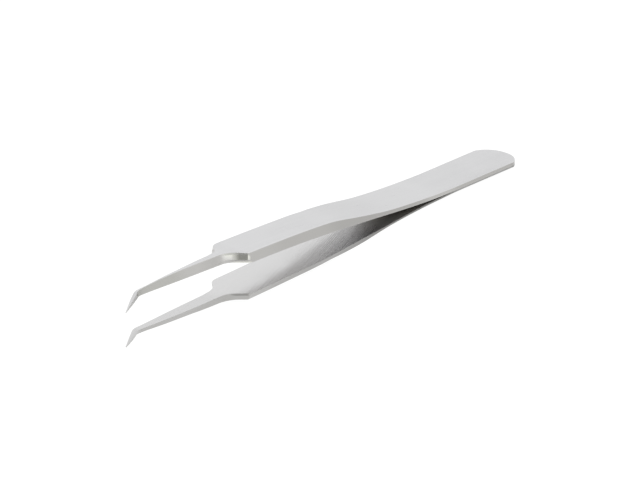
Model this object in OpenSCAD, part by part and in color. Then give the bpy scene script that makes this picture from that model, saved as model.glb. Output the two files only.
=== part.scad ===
// Precision tweezers with fine points angled to one side.
// Two spring-steel arms lie face to face and are welded along the flat heel.
// Past the weld they bow apart, thicken into the grips, step in at a shoulder
// to a slim neck, and end in points that both bend the same way.
//
// Arm frame: x runs from the heel (0) to the points, y towards the side the
// points bend to, z away from the plane where the two arms meet. The finished
// part is turned half round about z and lies on its lower arm as it rests.

/* [Overall size] */
// Length from the heel to the points, along the arms
overall_length = 115; // [105:1:130]
// Width of an arm's inner face over the heel and the spring
arm_width = 10.4; // [9.6:0.1:11.6]
// Clear distance between the two points
tip_gap = 7; // [5:0.1:9]

/* [Arms] */
// Thickness of one arm over the heel and the spring
spring_thickness = 0.52; // [0.44:0.02:0.7]
// Thickness of one arm over the grip
grip_thickness = 1.6; // [1.3:0.05:1.9]
// Length over which the two arms are welded face to face
weld_length = 19.5; // [16:0.5:22]
// Square land left along the inner edges by the ground side bevels
edge_land = 0.1; // [0.05:0.05:0.2]

/* [Shoulder and neck] */
// Distance from the corner of the shoulder to the points
neck_length = 34.3; // [32:0.1:37]
// Slope of the shoulder against the length of the arm, in degrees
shoulder_slope = 47; // [43:1:52]
// How much further forward the shoulder sits on the side away from the bend
shoulder_lead = 0.6; // [0:0.1:0.8]
// Radius of the shoulder's outer corner
shoulder_round = 1.5; // [1:0.1:2]
// Radius of the fillet between shoulder and neck
neck_fillet = 2.6; // [1.5:0.1:3]
// Offset of the neck away from the bend
neck_offset = 0.1; // [0:0.05:0.2]

/* [Points] */
// Angle that the points are bent to one side, in degrees
tip_angle = 30; // [15:1:40]
// Length of the angled point, from the bend's corner to its end
tip_reach = 8.5; // [7:0.1:10]
// Radius of the bend, on the centre line
bend_radius = 3; // [2:0.5:8]

/* [Hidden] */
$fn = 96;

steel = [0.78, 0.79, 0.79];

L = overall_length;
kx = L / 115;              // stretches the stations with the length
kz = tip_gap / 7;          // opens the bow with the gap
kb = arm_width / 10.4;     // widens the bevels with the arm
heel_r = arm_width / 2;
shoulder_x = L - neck_length;
neck_x = shoulder_x + 6.5; // where the neck's own taper takes over

// Height of the inner face above the meeting plane: [station, height]
bow = [[weld_length / kx, 0], [25, 0.08], [30, 0.29], [35, 0.61], [40, 1.01], [45, 1.43],
       [50, 1.82], [55, 2.18], [60, 2.51], [65, 2.74], [70, 2.91], [75, 3.06], [80, 3.17],
       [86, 3.26], [92, 3.37], [98, 3.44], [105, 3.48], [108, 3.46], [115, 3.42]];

// Share of the way from the spring's to the grip's thickness: [station, share]
swell = [[37, 0], [40, 0.03], [42, 0.1], [45, 0.28], [50, 0.61], [55, 0.94], [60, 1], [80, 1],
         [85, 1.15], [89, 1.1], [93, 0.99], [100, 0.8], [105, 0.54], [108, 0.42], [110, 0.32],
         [113, 0], [115, -0.3]];

// How far the ground bevel sets the outer face in from the inner one, on each side
bevel = [[20, 0.35], [30, 0.48], [40, 0.48], [46, 0.5], [50, 0.66], [54, 0.94], [57, 1.15], [62, 1.12],
         [70, 1.02], [80, 1], [84, 0.95], [90, 0.92], [95, 0.95], [99, 0.88], [103, 0.74],
         [107, 0.5], [110, 0.36], [113, 0.18], [115, 0.03]];

// Half width of the neck and the point, square to its own line: [mm before the point, mm]
taper = [[0, 0.07], [1, 0.17], [3, 0.36], [5, 0.52], [7, 0.63], [9, 0.69], [13, 0.92],
         [17, 1.16], [21, 1.34], [25, 1.46], [28, 1.52]];

// --- a smooth curve through a table of points, without overshoot ---
function seg(t, x, i = 0) = i >= len(t) - 2 || x < t[i + 1][0] ? i : seg(t, x, i + 1);
function rise(t, i) = (t[i + 1][1] - t[i][1]) / (t[i + 1][0] - t[i][0]);
function pull(t, i) =
    i == 0 ? 0 :
    i == len(t) - 1 ? rise(t, i - 1) :
    let (a = rise(t, i - 1), b = rise(t, i)) a * b <= 0 ? 0 : 2 * a * b / (a + b);
function curve(t, x) =
    x <= t[0][0] ? t[0][1] :
    x >= t[len(t) - 1][0] ? t[len(t) - 1][1] :
    let (i = seg(t, x), h = t[i + 1][0] - t[i][0], s = (x - t[i][0]) / h)
        (1 + 2 * s) * (1 - s) * (1 - s) * t[i][1] + s * (1 - s) * (1 - s) * h * pull(t, i)
        + s * s * (3 - 2 * s) * t[i + 1][1] - s * s * (1 - s) * h * pull(t, i + 1);

// --- side profile ---
function z_in(x) = kz * curve(bow, x / kx);
function thick(x) = max(0.12, spring_thickness + (grip_thickness - spring_thickness) * curve(swell, x / kx));
function z_out(x) = z_in(x) + thick(x);

// --- outline of the body and shoulder: three straight runs joined by two arcs ---
// A run is [x, y, slope]; inset by d it stays parallel to itself. The shoulder is a little
// steeper on the far side, and both it and the neck's flare differ between the two faces.
side_y = heel_r - 0.2 * kb;
neck_y = curve(taper, neck_length - 6.5);
function runs(lead, shift, steeper, flare) = [[shoulder_x + lead, side_y, 0],
                                              [shoulder_x + lead, side_y, -tan(shoulder_slope + steeper)],
                                              [neck_x, neck_y + shift, -flare]];
function norm_x(r) = -r[2] / sqrt(1 + r[2] * r[2]);
function run_y(r, x, d) = r[1] + r[2] * (x - r[0]) - d * sqrt(1 + r[2] * r[2]);
function meet_x(p, q, dp, dq) = (run_y(q, 0, dq) - run_y(p, 0, dp)) / (p[2] - q[2]);

// The body's side narrows a little from the spring to the grip
function ease(s) = s <= 0 ? 0 : s >= 1 ? 1 : s * s * (3 - 2 * s);
function body_y(x) = heel_r - 0.2 * kb * ease((x / kx - 58) / 12);

// Both arcs shrink together where the sloping run is too short for them
function room(r, d, rc, rf) =
    let (px = meet_x(r[0], r[1], d[0], d[1]), qx = meet_x(r[1], r[2], d[1], d[2]),
         a = atan(-r[1][2]), b = a - atan(-r[2][2]))
    min(1, 0.98 * (qx - px) / cos(a) / (rc * tan(a / 2) + rf * tan(b / 2)));

// r: the runs, d: their insets, corner and fillet: radii of the two arcs
function outline(x, r, d, corner, fillet) =
    let (k = room(r, d, corner, fillet), rc = corner * k, rf = fillet * k, cx = meet_x(r[0], r[1], d[0] + rc, d[1] + rc), cy = run_y(r[0], cx, d[0] + rc),
         fx = meet_x(r[1], r[2], d[1] - rf, d[2] - rf), fy = run_y(r[2], fx, d[2] - rf),
         c1 = cx + rc * norm_x(r[1]), f0 = fx - rf * norm_x(r[1]), f1 = fx - rf * norm_x(r[2]))
    x < cx ? body_y(x) - d[0] :
    x < c1 ? cy + sqrt(rc * rc - (x - cx) * (x - cx)) :
    x < f0 ? run_y(r[1], x, d[1]) :
    x < f1 ? fy - sqrt(rf * rf - (x - fx) * (x - fx)) :
    run_y(r[2], x, d[2]);

// --- centre line in plan: straight, an arc, then straight at the tip's angle ---
bend_x = L - tip_reach * cos(tip_angle);
bend_run = bend_radius * tan(tip_angle / 2);
bend_end = bend_x + bend_run * cos(tip_angle);
function heading(x) =
    x <= bend_x - bend_run || tip_angle == 0 ? 0 :
    x >= bend_end ? tip_angle : asin((x - bend_x + bend_run) / bend_radius);
function centre(x) = -neck_offset + (
    x <= bend_x - bend_run || tip_angle == 0 ? 0 :
    x >= bend_end ? (x - bend_x) * tan(tip_angle) : bend_radius * (1 - cos(heading(x))));

// --- half widths; the bend is towards "near", the other side is "far" ---
near_runs = runs(0, -neck_offset, 0, 0.03);
near_crease_runs = runs(-0.1, -neck_offset, 5, 0.03);
far_runs = runs(shoulder_lead, neck_offset, 8, 0.13);
far_crease_runs = runs(shoulder_lead + 0.6, neck_offset, 10, 0.13);
notch_gain = 0.2 * kb; // the wall of the notch leans less than the bevel, on the near side
function near_share(x) = 1 - 0.4 * ease((x - bend_x + 2) / 4); // and past the bend so does the point
function inset(x) = kb * curve(bevel, x / kx);
function half(x) = curve(taper, L - x) / cos(heading(x));
function tip_inset(x) = min(inset(x) / cos(heading(x)), 0.9 * half(x));
function near_in(x) = x < neck_x ? outline(x, near_runs, [0, 0, 0], shoulder_round, neck_fillet)
                                 : half(x) + centre(x);
function far_in(x) = x < neck_x ? -outline(x, far_runs, [0, 0, 0], shoulder_round + 1.3, neck_fillet + 2)
                                : centre(x) - half(x);
function near_crease(x) =
    let (d = inset(x), e = d - notch_gain)
    x < neck_x ? outline(x, near_crease_runs, [d, e, e], 0.4, neck_fillet + 2.4)
               : near_in(x) - tip_inset(x) * near_share(x) + notch_gain * max(0, 1 - (x - neck_x) / 5);
function far_crease(x) =
    let (d = inset(x))
    x < neck_x ? -outline(x, far_crease_runs, [d, 0.2, d], shoulder_round + 2.1, neck_fillet - 0.4)
               : far_in(x) + tip_inset(x);

// Over the spring the bevel is slighter on one side: away from the bend on the upper arm,
// towards it on the lower one
function slighter(x) = 0.5 * inset(x) * ease((x - weld_length) / 7) * (1 - ease((x / kx - 47) / 8));
function near_out(x, lower) = min(near_crease(x) + (lower ? slighter(x) : 0), near_in(x) - 0.03);
function far_out(x, lower) = max(far_crease(x) - (lower ? 0 : slighter(x)), far_in(x) + 0.03);

// --- one cross-section: flat inner face, small lands, ground sides, outer face ---
function section(x, lower = false) =
    let (n = near_in(x), f = far_in(x), zi = z_in(x), zo = z_out(x), e = min(edge_land, thick(x) * 0.3))
    [[x, n, zi], [x, n, zi + e], [x, near_out(x, lower), zo], [x, far_out(x, lower), zo], [x, f, zi + e], [x, f, zi]];

// Stations are close together where the outline turns quickly
stations = concat(
    [for (x = [weld_length : 1 : shoulder_x - 2.2]) x],
    [for (x = [shoulder_x - 1.6 : 0.25 : neck_x]) x],
    [for (x = [neck_x + 0.8 : 1 : bend_x - bend_run - 0.6]) x],
    [for (i = [0 : 7]) bend_x - bend_run + i / 7 * (bend_end - bend_x + bend_run)],
    [for (i = [1 : 10]) bend_end + i / 10 * (L - bend_end)]
);

// Skin over a row of closed cross-sections
module skin(rows) {
    n = len(rows);
    m = len(rows[0]);
    polyhedron(
        points = [for (r = rows, p = r) p],
        faces = concat(
            [[for (j = [0 : m - 1]) j]],
            [for (i = [0 : n - 2], j = [0 : m - 1])
                let (k = (j + 1) % m) each [[i * m + j, (i + 1) * m + j, (i + 1) * m + k], [i * m + j, (i + 1) * m + k, i * m + k]]],
            [[for (j = [m - 1 : -1 : 0]) (n - 1) * m + j]]
        ),
        convexity = 8
    );
}

// Heel: flat, with a round end that is fuller on the near side, and the bevel along its sides
module heel() {
    in0 = inset(0);
    corner_r = heel_r - 0.7 * kb;
    intersection() {
        union() {
            translate([heel_r, 0, 0]) cylinder(h = spring_thickness, r = heel_r);
            translate([corner_r, heel_r - corner_r, 0]) cylinder(h = spring_thickness, r = corner_r);
            cube([heel_r, heel_r - corner_r, spring_thickness]);
            translate([corner_r, 0, 0]) cube([weld_length - corner_r, heel_r, spring_thickness]);
            translate([heel_r, -heel_r, 0]) cube([weld_length - heel_r, heel_r, spring_thickness]);
        }
        translate([-1, 0, 0]) rotate([90, 0, 90]) linear_extrude(weld_length + 1)
            polygon([[-heel_r, 0], [heel_r, 0], [heel_r, edge_land], [heel_r - in0, spring_thickness],
                     [-heel_r + in0, spring_thickness], [-heel_r, edge_land]]);
    }
}

module arm(lower = false) {
    union() {
        heel();
        skin([for (x = stations) section(x, lower)]);
    }
}

// --- how it lies: on the heel's end and the first broad part of the grip ---
rest_pitch = max([for (x = stations) if (x < shoulder_x) atan((z_out(x) - spring_thickness) / x)]);
far_x = max([for (p = section(L)) p[0] * cos(rest_pitch) + p[2] * sin(rest_pitch)]);
near_x = -spring_thickness * sin(rest_pitch);
lift = spring_thickness * cos(rest_pitch);

module at_rest() {
    translate([(far_x + near_x) / 2, 0, lift]) rotate([0, -rest_pitch, 180]) children();
}

module upper_arm() {
    color(steel) at_rest() arm();
}

module lower_arm() {
    color(steel) at_rest() mirror([0, 0, 1]) arm(lower = true);
}

upper_arm();
lower_arm();
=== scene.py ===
import bpy, math
import numpy as np
from mathutils import Matrix, Vector


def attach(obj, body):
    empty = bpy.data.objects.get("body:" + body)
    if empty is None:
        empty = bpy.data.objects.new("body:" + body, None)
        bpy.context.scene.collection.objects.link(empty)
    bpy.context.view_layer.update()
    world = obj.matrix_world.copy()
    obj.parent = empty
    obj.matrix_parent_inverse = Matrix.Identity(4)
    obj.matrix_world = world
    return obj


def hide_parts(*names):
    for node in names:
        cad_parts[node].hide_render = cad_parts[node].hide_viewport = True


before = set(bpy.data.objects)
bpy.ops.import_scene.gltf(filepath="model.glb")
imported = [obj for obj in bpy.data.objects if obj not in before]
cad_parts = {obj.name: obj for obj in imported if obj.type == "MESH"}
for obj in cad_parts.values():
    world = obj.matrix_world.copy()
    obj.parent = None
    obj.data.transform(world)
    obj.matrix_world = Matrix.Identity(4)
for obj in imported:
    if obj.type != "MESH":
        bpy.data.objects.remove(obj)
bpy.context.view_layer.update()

# ---------------------------------------------------------------- the arm's shape, in mm
# The same tables and runs as the CAD source, so the finer skin lies on the CAD surface.
# Arm frame: x from the heel to the points, y towards the side the points bend to,
# z away from the plane where the two arms meet.
L, WELD, T_SPRING, T_GRIP = 115.0, 19.5, 0.52, 1.6
R_HEEL, R_CORNER = 5.2, 4.5
NECK_LENGTH, SLOPE, LEAD, R_SHOULDER, R_NECK, NECK_OFF = 34.3, 47.0, 0.6, 1.5, 2.6, 0.1
TIP_ANGLE, TIP_REACH, R_BEND = 30.0, 8.5, 3.0
LAND = 0.1
SHOULDER_X = L - NECK_LENGTH
NECK_X = SHOULDER_X + 6.5

BOW = [(19.5, 0), (25, 0.08), (30, 0.29), (35, 0.61), (40, 1.01), (45, 1.43), (50, 1.82), (55, 2.18),
       (60, 2.51), (65, 2.74), (70, 2.91), (75, 3.06), (80, 3.17), (86, 3.26), (92, 3.37), (98, 3.44),
       (105, 3.48), (108, 3.46), (115, 3.42)]
SWELL = [(37, 0), (40, 0.03), (42, 0.1), (45, 0.28), (50, 0.61), (55, 0.94), (60, 1), (80, 1), (85, 1.15),
         (89, 1.1), (93, 0.99), (100, 0.8), (105, 0.54), (108, 0.42), (110, 0.32), (113, 0), (115, -0.3)]
BEVEL = [(20, 0.35), (30, 0.48), (40, 0.48), (46, 0.5), (50, 0.66), (54, 0.94), (57, 1.15), (62, 1.12),
         (70, 1.02), (80, 1), (84, 0.95), (90, 0.92), (95, 0.95), (99, 0.88), (103, 0.74), (107, 0.5),
         (110, 0.36), (113, 0.18), (115, 0.03)]
TAPER = [(0, 0.07), (1, 0.17), (3, 0.36), (5, 0.52), (7, 0.63), (9, 0.69), (13, 0.92), (17, 1.16),
         (21, 1.34), (25, 1.46), (28, 1.52)]


def curve(table, x):
    """A smooth curve through a table of points, without overshoot."""
    if x <= table[0][0]:
        return table[0][1]
    if x >= table[-1][0]:
        return table[-1][1]
    i = max(k for k in range(len(table) - 1) if x >= table[k][0])

    def rise(k):
        return (table[k + 1][1] - table[k][1]) / (table[k + 1][0] - table[k][0])

    def pull(k):
        if k == 0:
            return 0.0
        if k == len(table) - 1:
            return rise(k - 1)
        a, b = rise(k - 1), rise(k)
        return 0.0 if a * b <= 0 else 2 * a * b / (a + b)

    h = table[i + 1][0] - table[i][0]
    s = (x - table[i][0]) / h
    return ((1 + 2 * s) * (1 - s) ** 2 * table[i][1] + s * (1 - s) ** 2 * h * pull(i)
            + s * s * (3 - 2 * s) * table[i + 1][1] - s * s * (1 - s) * h * pull(i + 1))


def z_in(x):
    return curve(BOW, x)


def thick(x):
    return max(0.12, T_SPRING + (T_GRIP - T_SPRING) * curve(SWELL, x))


def smooth(a, b, x):
    s = min(1.0, max(0.0, (x - a) / (b - a)))
    return s * s * (3 - 2 * s)


SIDE_Y, NECK_Y = R_HEEL - 0.2, curve(TAPER, NECK_LENGTH - 6.5)


def runs(lead, shift, steeper, flare):
    return [(SHOULDER_X + lead, SIDE_Y, 0.0),
            (SHOULDER_X + lead, SIDE_Y, -math.tan(math.radians(SLOPE + steeper))),
            (NECK_X, NECK_Y + shift, -flare)]


def norm_x(r):
    return -r[2] / math.sqrt(1 + r[2] ** 2)


def run_y(r, x, d):
    return r[1] + r[2] * (x - r[0]) - d * math.sqrt(1 + r[2] ** 2)


def meet_x(p, q, dp, dq):
    return (run_y(q, 0, dq) - run_y(p, 0, dp)) / (p[2] - q[2])


def body_y(x):
    return R_HEEL - 0.2 * smooth(58, 70, x)


def room(r, d, rc, rf):
    px, qx = meet_x(r[0], r[1], d[0], d[1]), meet_x(r[1], r[2], d[1], d[2])
    a = math.atan(-r[1][2])
    b = a - math.atan(-r[2][2])
    return min(1.0, 0.98 * (qx - px) / math.cos(a) / (rc * math.tan(a / 2) + rf * math.tan(b / 2)))


def outline(x, r, d, corner, fillet):
    k = room(r, d, corner, fillet)
    rc, rf = corner * k, fillet * k
    cx = meet_x(r[0], r[1], d[0] + rc, d[1] + rc)
    cy = run_y(r[0], cx, d[0] + rc)
    fx = meet_x(r[1], r[2], d[1] - rf, d[2] - rf)
    fy = run_y(r[2], fx, d[2] - rf)
    c1, f0, f1 = cx + rc * norm_x(r[1]), fx - rf * norm_x(r[1]), fx - rf * norm_x(r[2])
    if x < cx:
        return body_y(x) - d[0]
    if x < c1:
        return cy + math.sqrt(max(0.0, rc * rc - (x - cx) ** 2))
    if x < f0:
        return run_y(r[1], x, d[1])
    if x < f1:
        return fy - math.sqrt(max(0.0, rf * rf - (x - fx) ** 2))
    return run_y(r[2], x, d[2])


TIP = math.radians(TIP_ANGLE)
BEND_X = L - TIP_REACH * math.cos(TIP)
BEND_RUN = R_BEND * math.tan(TIP / 2)
BEND_END = BEND_X + BEND_RUN * math.cos(TIP)


def heading(x):
    if x <= BEND_X - BEND_RUN:
        return 0.0
    return TIP if x >= BEND_END else math.asin((x - BEND_X + BEND_RUN) / R_BEND)


def centre(x):
    if x <= BEND_X - BEND_RUN:
        return -NECK_OFF
    if x >= BEND_END:
        return -NECK_OFF + (x - BEND_X) * math.tan(TIP)
    return -NECK_OFF + R_BEND * (1 - math.cos(heading(x)))


NEAR, NEAR_CREASE = runs(0, -NECK_OFF, 0, 0.03), runs(-0.1, -NECK_OFF, 5, 0.03)
FAR, FAR_CREASE = runs(LEAD, NECK_OFF, 8, 0.13), runs(LEAD + 0.6, NECK_OFF, 10, 0.13)
NOTCH_GAIN = 0.2


def half(x):
    return curve(TAPER, L - x) / math.cos(heading(x))


def tip_inset(x):
    return min(curve(BEVEL, x) / math.cos(heading(x)), 0.9 * half(x))


def near_in(x):
    return outline(x, NEAR, (0, 0, 0), R_SHOULDER, R_NECK) if x < NECK_X else half(x) + centre(x)


def far_in(x):
    return -outline(x, FAR, (0, 0, 0), R_SHOULDER + 1.3, R_NECK + 2) if x < NECK_X else centre(x) - half(x)


TIP_SHARE = 0.6   # how much of the bevel is left on the near side past the bend


def slighter(x):
    """Over the spring the bevel is slighter on one side of each arm."""
    return 0.5 * curve(BEVEL, x) * smooth(WELD, WELD + 7, x) * (1 - smooth(47, 55, x))


def near_out(x, share=TIP_SHARE, low=False):
    d = curve(BEVEL, x)
    e = d - NOTCH_GAIN
    if x < NECK_X:
        y = outline(x, NEAR_CREASE, (d, e, e), 0.4, R_NECK + 2.4)
    else:
        y = near_in(x) - tip_inset(x) * (1 - (1 - share) * smooth(BEND_X - 2, BEND_X + 2, x)) + NOTCH_GAIN * max(0.0, 1 - (x - NECK_X) / 5)
    return min(y + (slighter(x) if low else 0.0), near_in(x) - 0.03)


def far_out(x, low=False):
    d = curve(BEVEL, x)
    if x < NECK_X:
        y = -outline(x, FAR_CREASE, (d, 0.2, d), R_SHOULDER + 2.1, R_NECK - 0.4)
    else:
        y = far_in(x) + tip_inset(x)
    return max(y - (0.0 if low else slighter(x)), far_in(x) + 0.03)


# ---------------------------------------------------------------- how it lies, as in the CAD source
def cad_stations():
    out, x = [], WELD
    while x <= SHOULDER_X - 2.2 + 1e-9:
        out.append(x)
        x += 1
    return out


PITCH = max(math.atan((z_in(x) + thick(x) - T_SPRING) / x) for x in cad_stations())
CP, SP = math.cos(PITCH), math.sin(PITCH)
TIP_Z = z_in(L) + thick(L)
SHIFT = (L * CP + TIP_Z * SP - T_SPRING * SP) / 2
LIFT = T_SPRING * CP


def to_row(p):
    """Arm frame in mm to row frame in metres; p is an array of points."""
    x, y, z = p[..., 0], p[..., 1], p[..., 2]
    return np.stack([SHIFT - (x * CP - z * SP), -y, LIFT + z * CP + x * SP], -1) / 1000.0


def turn_row(v):
    x, y, z = v
    return Vector((-(x * CP - z * SP), -y, z * CP + x * SP))


# ---------------------------------------------------------------- one arm as a fine skin
def spaced(a, b, step):
    n = max(1, int(math.ceil((b - a) / step - 1e-9)))
    return [a + (b - a) * i / n for i in range(n)]


STATIONS = (spaced(R_HEEL, WELD, 0.8) + spaced(WELD, 36.0, 0.5) + spaced(36.0, 79.0, 0.4)
            + spaced(79.0, 80.0, 0.1) + spaced(80.0, 81.4, 0.05) + spaced(81.4, NECK_X + 0.6, 0.1) + spaced(NECK_X + 0.6, BEND_X - 1.4, 0.3)
            + spaced(BEND_X - 1.4, BEND_END + 0.4, 0.08) + spaced(BEND_END + 0.4, L, 0.15) + [L])

ARC = 4          # segments of each rounded edge
END_STEPS = 40   # steps from the heel's end to its straight side


def rounded(path, radii):
    """The open polyline path with each inner corner rounded; every corner gives ARC + 1 points."""
    out = []
    for i in range(1, len(path) - 1):
        a, q, b = (np.array(path[k], float) for k in (i - 1, i, i + 1))
        u, v = q - a, b - q
        lu, lv = np.linalg.norm(u), np.linalg.norm(v)
        u, v = u / max(lu, 1e-9), v / max(lv, 1e-9)
        turn = math.acos(max(-1.0, min(1.0, float(u @ v))))
        t = min(max(radii[i - 1] * math.tan(turn / 2), 0.012), 0.45 * lu, 0.45 * lv)
        p0, p1 = q - t * u, q + t * v
        for k in range(ARC + 1):
            s = k / ARC
            out.append((1 - s) ** 2 * p0 + 2 * s * (1 - s) * q + s * s * p1)
    return out


def in_notch(x, side):
    """1 along the shoulder on the side the points bend to, fading out into the neck."""
    return smooth(80.1, 80.9, x) * (1 - smooth(83.9, 86.6, x)) if side > 0 else 0.0


def profile(x, inset, side, soft=0.0, cut=1.0):
    """Points (inset, height) up the side of the arm, from the inner face to the outer one."""
    t, e = thick(x) - 0.001, min(LAND, thick(x) * 0.3)
    w = in_notch(x, side)
    # beside the inner face a small chamfer and an upright strip in the notch, a land elsewhere
    c = cut * w * (1 - smooth(82.5, 84.5, x))
    f = (1 - w) * min(0.5, 0.45 / t) + w * min(0.5, 0.58 / t)
    slant = inset * (f * t - e) / (t - e)
    strip = ((1 - w) * slant + w * min(0.06, slant), f * t)
    g = max(1 - 0.34 / t if w > 0 else 0.85, f + 0.1)
    below = (strip[0] + (inset - strip[0]) * (g - f) / (1 - f), g * t)
    wide = min(1.2, 0.45 * (near_in(x) - far_in(x))) if x > R_HEEL else 0.5
    lip = max(inset + 0.02, min(inset + 0.5, inset + 0.4 * max(0.05, wide)))
    path = [(0.11 * c + 0.5 * min(0.3, wide), 0.0), (0.11 * c, 0.0), (0.0, e + 0.3 * c - 0.1 * w), strip, below,
            (inset, t), (lip, t)]
    small = min(1.0, t / 0.5)
    r_in = 0.035 * small
    r_out = (0.07 + 0.05 * smooth(40, 60, x)) * small * (1 - 0.7 * w) + soft
    return rounded(path, (r_in, 0.045 * small, 0.03 + 0.25 * (1 - w), 0.3, r_out))


def near_points(x, share=TIP_SHARE, low=False):
    """The near profile at a station; in the notch it stands square to the outline."""
    n = near_in(x)
    lean = math.atan((near_in(x - 0.05) - near_in(x + 0.05)) / 0.1)
    xc = x - 0.95 * math.sin(max(0.0, lean)) * smooth(79.9, 80.3, x) * (1 - smooth(86.0, 89.0, x))
    yc = near_out(xc, share, low)
    reach = math.hypot(x - xc, n - yc)
    out = []
    for d, h in profile(x, reach, 1, 0.5 * (1 - share) * smooth(103, 106, x), 1.4 if low else 1.0):
        q = min(1.0, d / reach)
        out.append((x + (xc - x) * q, n + (yc - n) * q - max(0.0, d - reach), z_in(x) + h))
    return np.array(out)


def far_points(x, low=False):
    f = far_in(x)
    return np.array([(x, f + d, z_in(x) + h) for d, h in profile(x, far_out(x, low) - f, -1)])


def end_points(a, radius, side):
    """A profile on the heel's round end; a is 0 at its very end and a right angle at the side."""
    off = R_HEEL - radius
    ring = R_HEEL - curve(BEVEL, 0) - off
    s = max(math.sin(a), 1e-9)
    inset = max(0.0, radius - ring / s)
    pts = []
    for d, h in profile(R_HEEL * 0.5, inset, 0):
        r = radius - d
        pts.append((radius - r * math.cos(a), side * (off + r * math.sin(a)), h))
    return np.array(pts)


def arm_rows(share, low):
    """Rows of the skin: for each station a far and a near profile, the heel's end first."""
    rows = []
    for k in range(1, END_STEPS + 1):
        a = math.pi / 2 * k / END_STEPS
        rows.append((end_points(a, R_HEEL, -1), end_points(a, R_CORNER, 1)))
    for x in STATIONS[1:]:
        pn, pf = near_points(x, share, low), far_points(x, low)
        # opposite profiles never cross on a narrow point
        mid = (near_in(x) + far_in(x)) / 2
        pn[:, 1] = np.maximum(pn[:, 1], mid + 0.004)
        pf[:, 1] = np.minimum(pf[:, 1], mid - 0.004)
        rows.append((pf, pn))
    return end_points(0.0, R_HEEL, -1), rows


def arm_mesh(name, flip, share):
    end, rows = arm_rows(share, flip)
    m = len(end)
    verts = []
    mark = {k: [] for k in ("along", "across", "flank", "polish_and_highlight", "notch_shade_line", "wear", "inner")}

    def add(points, side):
        first = len(verts)
        x = points[0][0]
        for i, p in enumerate(points):
            verts.append(p)
            mark["along"].append(x if x < BEND_X else BEND_X + (x - BEND_X) / math.cos(heading(x)))
            mark["across"].append((p[1] - (centre(x) if x > NECK_X else 0.0)) + side * 0.8 * (p[2] - z_in(x)))
            corner, k = divmod(i, ARC + 1)
            # the polish in the notch runs out sooner at the wall's inner side than at its outer one; with its
            # lighter colour this slant paints the slanted edge of the bright highlight on the wall
            if flip:
                start, end = (80.7, 81.1), (82.4, 84.0)
            else:
                start = ((80.2, 80.5), (80.2, 80.5), (80.7, 81.1), (80.2, 80.5), (80.4, 80.8))[corner]
                end = (83.6, 85.0) if corner > 2 else (82.2, 83.7)
            w = smooth(*start, x) * (1 - smooth(*end, x)) if side > 0 else 0.0
            # painted shade: on the lower arm's points the flanks' darker tone reaches onto the near edge of the
            # inner face, standing in for the shade of a chamfer
            tip_edge_shade = 0.35 * smooth(106.4, 108.4, x) if flip and side > 0 else 0.0
            mark["flank"].append(max(tip_edge_shade, k / ARC) if corner == 0 else 1 - k / ARC if corner == 4 else 1.0)
            chamfer = (corner == 0 and k >= ARC - 1) or (corner == 1 and k <= 1)
            wall = (corner == 2 and k >= ARC - 1) or corner == 3 or (corner == 4 and k <= 1)
            # the lower arm's notch is not polished; a painted dark line (painted shade) runs along the notch, on the
            # lower arm's chamfer and on the upper arm's top edge
            top_edge = (corner == 3 and k >= ARC // 2) or (corner == 4 and k <= 2)
            mark["polish_and_highlight"].append(w if (chamfer or wall) and not flip else 0.0)
            mark["notch_shade_line"].append(0.5 * w if flip and chamfer else w if top_edge and not flip else 0.0)
            edge = (0.7, 0.6, 0.0, 0.0, 1.0 - w)[corner]
            mark["wear"].append(0.0 if k in (0, ARC) else edge)
            mark["inner"].append(1.0 if i <= 1 else 0.0)
        return first

    faces = []
    e0 = add(end, 0)
    prev = None
    for f, n in rows:
        jf, jn = add(f, -1), add(n, 1)
        if prev is None:
            for i in range(m - 1):
                faces.append((e0 + i, e0 + i + 1, jf + i + 1, jf + i))
                faces.append((e0 + i + 1, e0 + i, jn + i, jn + i + 1))
            faces.append((e0, jf, jn))
            faces.append((e0 + m - 1, jn + m - 1, jf + m - 1))
        else:
            pf, pn = prev
            for i in range(m - 1):
                faces.append((pf + i, pf + i + 1, jf + i + 1, jf + i))
                faces.append((pn + i + 1, pn + i, jn + i, jn + i + 1))
            faces.append((pf, jf, jn, pn))
            faces.append((pf + m - 1, pn + m - 1, jn + m - 1, jf + m - 1))
        prev = (jf, jn)
    pf, pn = prev
    for i in range(m - 1):
        faces.append((pf + i, pf + i + 1, pn + i + 1, pn + i))
    v = np.array(verts)
    if flip:
        v = v * np.array([1, 1, -1])
        faces = [tuple(reversed(q)) for q in faces]
    v = to_row(v)

    me = bpy.data.meshes.new(name)
    me.from_pydata([tuple(p) for p in v], [], faces)
    me.validate()
    me.update()
    for label, values in mark.items():
        layer = me.attributes.new(label, "FLOAT", "POINT")
        layer.data.foreach_set("value", np.array(values, np.float32))
    # normals weighted by area, so a flat stays flat up to its rounded edge
    co = np.zeros(len(me.vertices) * 3)
    me.vertices.foreach_get("co", co)
    co = co.reshape(-1, 3)
    total = np.zeros_like(co)
    for p in me.polygons:
        idx = list(p.vertices)
        w = np.array(p.normal) * p.area
        total[idx] += w
    total /= np.maximum(np.linalg.norm(total, axis=1, keepdims=True), 1e-30)
    me.shade_smooth()
    me.normals_split_custom_set_from_vertices([tuple(t) for t in total])
    ob = bpy.data.objects.new(name, me)
    bpy.context.scene.collection.objects.link(ob)
    return ob


# the points are dressed by hand, so the two are not quite alike
upper = arm_mesh("upper_arm_skin", False, 0.12)
lower = arm_mesh("lower_arm_skin", True, 0.95)


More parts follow.
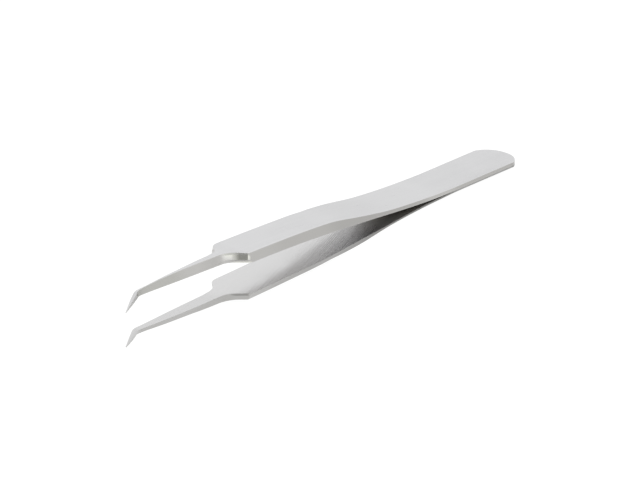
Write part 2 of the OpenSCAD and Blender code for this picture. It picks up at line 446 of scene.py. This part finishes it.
# ---------------------------------------------------------------- material
class Nodes:
    def __init__(self, tree):
        self.t = tree

    def new(self, kind, **values):
        n = self.t.nodes.new(kind)
        for k, v in values.items():
            setattr(n, k, v)
        return n

    def link(self, a, b):
        self.t.links.new(a, b)

    def attribute(self, name):
        return self.new("ShaderNodeAttribute", attribute_name=name, attribute_type="GEOMETRY").outputs["Fac"]

    def math(self, op, a, b=None, clamp=False):
        n = self.new("ShaderNodeMath", operation=op, use_clamp=clamp)
        for i, v in enumerate((a, b)):
            if v is None:
                continue
            if isinstance(v, (int, float)):
                n.inputs[i].default_value = v
            else:
                self.link(v, n.inputs[i])
        return n.outputs[0]

    def span(self, v, a, b, c=0.0, d=1.0, smooth_step=True):
        n = self.new("ShaderNodeMapRange", interpolation_type="SMOOTHSTEP" if smooth_step else "LINEAR")
        self.link(v, n.inputs["Value"])
        for k, x in (("From Min", a), ("From Max", b), ("To Min", c), ("To Max", d)):
            n.inputs[k].default_value = x
        return n.outputs["Result"]

    def vector(self, x, y, z=0.0):
        n = self.new("ShaderNodeCombineXYZ")
        for i, v in enumerate((x, y, z)):
            if isinstance(v, (int, float)):
                n.inputs[i].default_value = v
            else:
                self.link(v, n.inputs[i])
        return n.outputs[0]

    def noise(self, vec, scale, detail=2.0, rough=0.5):
        n = self.new("ShaderNodeTexNoise", noise_dimensions="3D")
        self.link(vec, n.inputs["Vector"])
        n.inputs["Scale"].default_value = scale
        n.inputs["Detail"].default_value = detail
        n.inputs["Roughness"].default_value = rough
        return n.outputs["Fac"]

    def mix(self, f, a, b):
        n = self.new("ShaderNodeMix", data_type="RGBA")
        for sock, v in ((n.inputs["Factor"], f), (n.inputs["A"], a), (n.inputs["B"], b)):
            if isinstance(v, (int, float)):
                sock.default_value = v
            elif isinstance(v, tuple):
                sock.default_value = v
            else:
                self.link(v, sock)
        return n.outputs["Result"]


def steel(name, seed, is_upper):
    mat = bpy.data.materials.new(name)
    mat.use_nodes = True
    t = mat.node_tree
    t.nodes.clear()
    k = Nodes(t)
    out = k.new("ShaderNodeOutputMaterial")
    bsdf = k.new("ShaderNodeBsdfPrincipled")
    k.link(bsdf.outputs[0], out.inputs["Surface"])
    along, across = k.attribute("along"), k.attribute("across")
    flank, polish_and_highlight, notch_shade_line = k.attribute("flank"), k.attribute("polish_and_highlight"), k.attribute("notch_shade_line")
    wear, inner = k.attribute("wear"), k.attribute("inner")
    place = k.vector(along, across, seed)
    # grinding lines, broad, medium and fine: along the arm outside, at a slant on the inner face
    cs, sn = math.cos(math.radians(20)), math.sin(math.radians(20))
    slant_v = k.math("ADD", k.math("MULTIPLY", along, cs), k.math("MULTIPLY", across, sn))
    slant_u = k.math("SUBTRACT", k.math("MULTIPLY", across, cs), k.math("MULTIPLY", along, sn))
    v = k.math("ADD", along, k.math("MULTIPLY", inner, k.math("SUBTRACT", slant_v, along)))
    u = k.math("ADD", across, k.math("MULTIPLY", inner, k.math("SUBTRACT", slant_u, across)))
    lines_a = k.noise(k.vector(k.math("MULTIPLY", v, 0.02), k.math("MULTIPLY", u, 1.4), seed), 1.0, 3.0, 0.55)
    lines_b = k.noise(k.vector(k.math("MULTIPLY", v, 0.09), k.math("MULTIPLY", u, 9.0), seed + 4.0), 1.0, 3.0, 0.6)
    lines_c = k.noise(k.vector(k.math("MULTIPLY", v, 0.5), k.math("MULTIPLY", u, 45.0), seed + 9.0), 1.0, 2.0, 0.6)
    scores = k.noise(k.vector(k.math("MULTIPLY", v, 0.12), k.math("MULTIPLY", u, 1.4), seed + 15.0), 1.0, 1.0, 0.4)
    cloud = k.noise(place, 0.16, 3.0, 0.55)
    speck = k.noise(place, 14.0, 2.0, 0.6)
    # colour: neutral steel, a little darker where the grain is coarse
    shade = k.math("ADD", k.math("MULTIPLY", lines_a, 0.5), k.math("MULTIPLY", cloud, 0.5))
    col = k.mix(k.span(shade, 0.36, 0.64), (0.606, 0.606, 0.618, 1), (0.630, 0.630, 0.640, 1))
    col = k.mix(k.math("MULTIPLY", k.span(lines_b, 0.35, 0.7), 0.3), col, (0.655, 0.655, 0.662, 1))
    col = k.mix(k.math("MULTIPLY", k.span(speck, 0.62, 0.8), 0.10), col, (0.42, 0.42, 0.41, 1))
    # the flexing part is a little brighter than the heel and the grip
    bright = k.math("SUBTRACT", k.math("MULTIPLY", k.span(along, 20.0, 28.0), 0.36), k.math("MULTIPLY", k.span(along, 55.0, 61.0), 0.12))
    col = k.mix(bright, col, (0.72, 0.72, 0.73, 1))
    # painted shade: the inner faces are darkened and a little warmed down in the crotch, where shade falls between
    # the arms; they are also dull there
    crotch_shade_and_dull = k.math("MULTIPLY", k.span(along, 33.0, 44.0, 1.0, 0.0), inner)
    if is_upper:
        col = k.mix(k.math("MULTIPLY", k.span(along, 46.0, 60.0, 0.5, 0.9), inner), col, (0.42, 0.41, 0.40, 1))
        col = k.mix(k.math("MULTIPLY", k.span(along, 107.0, 109.0), 0.35), col, (0.45, 0.45, 0.45, 1))
    else:
        col = k.mix(k.math("MULTIPLY", inner, 0.5), col, (0.70, 0.695, 0.695, 1))
        col = k.mix(k.math("MULTIPLY", k.math("MULTIPLY", k.span(along, 84.0, 88.0), inner), 0.3), col, (0.55, 0.55, 0.55, 1))
    # painted shade: darker and warmer on the inner faces in the crotch
    col = k.mix(k.math("MULTIPLY", crotch_shade_and_dull, 0.75), col, (0.42, 0.40, 0.355, 1))
    score_tone = k.math("MULTIPLY", k.span(scores, 0.35, 0.65), k.math("MULTIPLY", inner, k.span(along, 50.0, 66.0, 0.16, 0.0)))
    col = k.mix(score_tone, col, (0.42, 0.42, 0.415, 1))
    # the ground flanks are duller and a little warmer than the flats; their tone along each arm is partly painted
    # shade for a darker surround they reflect
    if is_upper:
        flank_tone_and_shade = k.mix(k.math("MULTIPLY", k.span(along, 28.0, 36.0), k.span(along, 54.0, 60.0, 1.0, 0.0)),
                       (0.450, 0.443, 0.431, 1), (0.412, 0.406, 0.395, 1))
        flank_tone_and_shade = k.mix(k.math("MULTIPLY", k.span(along, 19.0, 23.0), k.span(along, 27.0, 31.0, 1.0, 0.0)), flank_tone_and_shade, (0.500, 0.493, 0.480, 1))
        flank_tone_and_shade = k.mix(k.span(along, 68.0, 77.0), flank_tone_and_shade, (0.478, 0.472, 0.460, 1))
        flank_tone_and_shade = k.mix(k.span(along, 82.0, 86.0), flank_tone_and_shade, (0.500, 0.493, 0.480, 1))
        flank_tone_and_shade = k.mix(k.span(along, 93.0, 99.0), flank_tone_and_shade, (0.458, 0.456, 0.436, 1))
        flank_tone_and_shade = k.mix(k.span(along, 107.5, 109.0), flank_tone_and_shade, (0.58, 0.575, 0.565, 1))
    else:
        # painted shade: the lower arm's flanks face the floor, and their much darker tone stands in for its shadowed
        # reflection
        flank_tone_and_shade = k.mix(k.span(along, 17.0, 24.0), (0.250, 0.247, 0.240, 1), (0.140, 0.137, 0.128, 1))
        flank_tone_and_shade = k.mix(k.span(along, 38.0, 50.0), flank_tone_and_shade, (0.300, 0.296, 0.288, 1))
        flank_tone_and_shade = k.mix(k.span(along, 62.0, 80.0, 0.0, 1.0, False), flank_tone_and_shade, (0.430, 0.425, 0.415, 1))
    col = k.mix(k.math("MULTIPLY", flank, k.math("SUBTRACT", 1.0, polish_and_highlight)), col, flank_tone_and_shade)
    col = k.mix(k.math("MULTIPLY", wear, k.span(along, 100.0, 108.0, 0.4, 0.0)), col, (0.70, 0.70, 0.695, 1))
    # painted highlight: the polished notch wall is lighter and warm-tinted, like the light it reflects
    col = k.mix(polish_and_highlight, col, (0.62, 0.62, 0.570, 1))
    # painted shade: a dark line along the notch
    col = k.mix(k.math("MULTIPLY", notch_shade_line, 0.8), col, (0.39, 0.39, 0.375, 1) if is_upper else (0.25, 0.25, 0.24, 1))
    k.link(col, bsdf.inputs["Base Color"])
    k.link(k.math("SUBTRACT", 1.0, k.math("MULTIPLY", crotch_shade_and_dull, 0.10)), bsdf.inputs["Metallic"])
    # roughness: satin, polished in the notch, burnished on the edges, dull in the crotch
    rough = k.math("ADD", 0.27, k.math("MULTIPLY", k.span(lines_b, 0.3, 0.7), 0.07))
    rough = k.math("ADD", rough, k.math("MULTIPLY", k.span(cloud, 0.3, 0.7), 0.04))
    rough = k.math("SUBTRACT", rough, k.math("MULTIPLY", wear, 0.10))
    rough = k.math("SUBTRACT", rough, k.math("MULTIPLY", inner, 0.13))
    rough = k.math("ADD", rough, k.math("MULTIPLY", k.math("MULTIPLY", k.span(along, 37.0, 50.0, 1.0, 0.0), inner), 0.20))
    haze = k.math("MULTIPLY", k.span(along, 44.0, 52.0), k.span(along, 60.0, 68.0, 1.0, 0.0))
    rough = k.math("ADD", rough, k.math("MULTIPLY", k.math("MULTIPLY", haze, inner), 0.06))
    rough = k.math("SUBTRACT", rough, k.math("MULTIPLY", polish_and_highlight, 0.24))
    rough = k.math("ADD", rough, k.math("MULTIPLY", notch_shade_line, 0.18), clamp=True)
    k.link(rough, bsdf.inputs["Roughness"])
    # relief of the grain
    relief = k.math("ADD", k.math("MULTIPLY", lines_c, 0.5), k.math("MULTIPLY", lines_b, 0.5))
    relief = k.math("MULTIPLY", relief, k.math("SUBTRACT", 1.0, k.math("MULTIPLY", inner, 0.85)))
    relief = k.math("ADD", relief, k.math("MULTIPLY", k.math("MULTIPLY", scores, inner), 4.5))
    relief = k.math("MULTIPLY", relief, k.math("SUBTRACT", 1.0, k.math("MULTIPLY", polish_and_highlight, 0.8)))
    bump = k.new("ShaderNodeBump")
    bump.inputs["Strength"].default_value = 0.25
    bump.inputs["Distance"].default_value = 0.00001
    k.link(relief, bump.inputs["Height"])
    k.link(bump.outputs[0], bsdf.inputs["Normal"])
    return mat


for ob, node, seed in ((upper, "upper_arm", 1.7), (lower, "lower_arm", 6.3)):
    mat = steel("satin_steel_" + node, seed, node == "upper_arm")
    ob.data.materials.append(mat)
    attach(ob, "root")
    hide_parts(node)
    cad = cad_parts[node]
    cad.data.materials.clear()
    cad.data.materials.append(mat)

# ---------------------------------------------------------------- floor
fm = bpy.data.meshes.new("floor")
S = 3.0
fm.from_pydata([(-S, -S, 0), (S, -S, 0), (S, S, 0), (-S, S, 0)], [], [(0, 1, 2, 3)])
floor = bpy.data.objects.new("floor", fm)
bpy.context.scene.collection.objects.link(floor)
paper = bpy.data.materials.new("pale_floor")
paper.use_nodes = True
pb = paper.node_tree.nodes["Principled BSDF"]
pb.inputs["Roughness"].default_value = 0.9
pb.inputs["Specular IOR Level"].default_value = 0.1
kp = Nodes(paper.node_tree)
tc = kp.new("ShaderNodeTexCoord").outputs["Object"]
tone = kp.noise(tc, 9.0, 3.0, 0.5)
kp.link(kp.mix(kp.span(tone, 0.3, 0.7), (0.105, 0.105, 0.105, 1), (0.125, 0.125, 0.125, 1)), pb.inputs["Base Color"])
# a light table: most of its brightness comes from below, so shadows stay faint
pb.inputs["Emission Color"].default_value = (1.0, 1.0, 0.998, 1)
pb.inputs["Emission Strength"].default_value = 0.93
fm.materials.append(paper)

# ---------------------------------------------------------------- camera
E_CAM, TH_CAM, ROLL = math.radians(22.5902), math.radians(48.5855), math.radians(0.219)
CAM_AT = (1095.27, 917.41, 575.67)
back = Vector((math.cos(E_CAM) * math.sin(TH_CAM), math.cos(E_CAM) * math.cos(TH_CAM), math.sin(E_CAM)))
right = Vector((0, 0, 1)).cross(back).normalized()
up = back.cross(right)
right2 = right * math.cos(ROLL) + up * math.sin(ROLL)
up2 = up * math.cos(ROLL) - right * math.sin(ROLL)
cx, cy, cz = turn_row(right2), turn_row(up2), turn_row(back)
cam_data = bpy.data.cameras.new("camera")
cam = bpy.data.objects.new("camera", cam_data)
bpy.context.scene.collection.objects.link(cam)
where = Vector([float(v) for v in to_row(np.array(CAM_AT))])
cam.matrix_world = Matrix(((cx.x, cy.x, cz.x, where.x), (cx.y, cy.y, cz.y, where.y), (cx.z, cy.z, cz.z, where.z), (0, 0, 0, 1)))
cam_data.sensor_fit = "HORIZONTAL"
cam_data.sensor_width = 36.0
cam_data.lens = 7746.3 / 640 * 36
cam_data.clip_start, cam_data.clip_end = 0.05, 50
bpy.context.scene.camera = cam

# ---------------------------------------------------------------- light
world = bpy.data.worlds.new("studio")
bpy.context.scene.world = world
world.use_nodes = True
wt = world.node_tree
wt.nodes.clear()
kw = Nodes(wt)
wout = kw.new("ShaderNodeOutputWorld")
bg = kw.new("ShaderNodeBackground")
kw.link(bg.outputs[0], wout.inputs["Surface"])
direction = kw.new("ShaderNodeTexCoord").outputs["Generated"]
sep = kw.new("ShaderNodeSeparateXYZ")
kw.link(direction, sep.inputs[0])


def toward(vec):
    n = kw.new("ShaderNodeVectorMath", operation="DOT_PRODUCT")
    kw.link(direction, n.inputs[0])
    n.inputs[1].default_value = Vector(vec).normalized()
    return n.outputs["Value"]


base = kw.span(sep.outputs["Z"], 0.0, 0.2, 0.6, 1.0)
# a dark flag hangs in front, the room is darker behind the camera, and a soft light stands
# at the side the points bend to
flag = kw.span(toward(turn_row((0.480, 0.224, 0.848))), 0.958, 0.984, 1.0, 0.40)
room_dark = kw.span(toward(turn_row((0.703, 0.656, 0.276))), 0.978, 0.992, 1.0, 0.30)
dark = kw.math("MULTIPLY", flag, room_dark)
glow = kw.span(toward(turn_row((0.0, 0.84, 0.54))), 0.829, 0.883, 0.0, 0.27)
level = kw.math("ADD", kw.math("MULTIPLY", base, dark), glow)
bg.inputs["Color"].default_value = (1.0, 1.0, 0.995, 1)
kw.link(level, bg.inputs["Strength"])


def softbox(name, toward_dir, dist, size, power, tint=(1, 1, 1)):
    data = bpy.data.lights.new(name, "AREA")
    data.shape = "DISK"
    data.size = size
    data.energy = power
    data.color = tint
    ob = bpy.data.objects.new(name, data)
    d = Vector(toward_dir).normalized()
    ob.location = d * dist
    ob.rotation_mode = "QUATERNION"
    ob.rotation_quaternion = d.to_track_quat("Z", "Y")
    bpy.context.scene.collection.objects.link(ob)
    return ob


top = softbox("overhead", (0.1, 0.25, 1.0), 1.6, 1.6, 10.0)

bpy.context.scene.view_settings.view_transform = "Standard"
bpy.context.scene.view_settings.look = "None"
